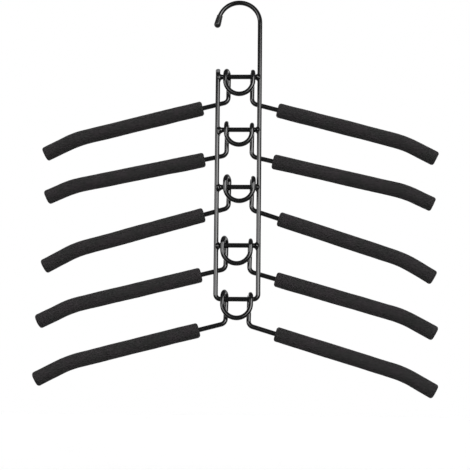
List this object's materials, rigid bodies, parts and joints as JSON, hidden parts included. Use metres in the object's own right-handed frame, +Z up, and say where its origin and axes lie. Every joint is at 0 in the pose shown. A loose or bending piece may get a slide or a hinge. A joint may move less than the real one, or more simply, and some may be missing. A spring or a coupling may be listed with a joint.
{
  "type": "multi-tier coat hanger",
  "caption": "Hooked wire ladder frame whose rungs each carry a swinging hanger with two drooping, foam-padded arms, one below the other.",
  "frame": {"origin": "where the closet rail bears inside the top of the hook, in the middle of the wire", "axes": "+X to the right along the hangers' arms, +Y to the back, +Z up"},
  "size_m": [0.414, 0.0232, 0.4115],
  "materials": {
    "black_enamel": "glossy black enamel on steel wire",
    "soft_tip": "dipped soft vinyl, satin gloss",
    "foam": "fine-celled nitrile rubber foam, matte charcoal"
  },
  "bodies": {
    "frame": {"frame_wire": "black_enamel", "hook_tip": "soft_tip", "rung_1": "black_enamel", "rung_2": "black_enamel", "rung_3": "black_enamel", "rung_4": "black_enamel"},
    "hanger_1": {"hanger_wire_1": "black_enamel", "foam_sleeve_left_1": "foam", "foam_sleeve_right_1": "foam"},
    "hanger_2": {"hanger_wire_2": "black_enamel", "foam_sleeve_left_2": "foam", "foam_sleeve_right_2": "foam"},
    "hanger_3": {"hanger_wire_3": "black_enamel", "foam_sleeve_left_3": "foam", "foam_sleeve_right_3": "foam"},
    "hanger_4": {"hanger_wire_4": "black_enamel", "foam_sleeve_left_4": "foam", "foam_sleeve_right_4": "foam"},
    "hanger_5": {"hanger_wire_5": "black_enamel", "foam_sleeve_left_5": "foam", "foam_sleeve_right_5": "foam"}
  },
  "joints": [
    {"name": "swing_1", "type": "hinge", "parent": "frame", "child": "hanger_1", "pos_m": [0, 0, -0.07695], "axis": [1, 0, 0], "range_deg": [0, 150]},
    {"name": "swing_2", "type": "hinge", "parent": "frame", "child": "hanger_2", "pos_m": [0, 0, -0.13288], "axis": [1, 0, 0], "range_deg": [0, 125]},
    {"name": "swing_3", "type": "hinge", "parent": "frame", "child": "hanger_3", "pos_m": [0, 0, -0.19293], "axis": [1, 0, 0], "range_deg": [0, 125]},
    {"name": "swing_4", "type": "hinge", "parent": "frame", "child": "hanger_4", "pos_m": [0, 0, -0.25335], "axis": [1, 0, 0], "range_deg": [0, 125]},
    {"name": "swing_5", "type": "hinge", "parent": "frame", "child": "hanger_5", "pos_m": [0, 0, -0.30845], "axis": [1, 0, 0], "range_deg": [-145, 125]}
  ]
}
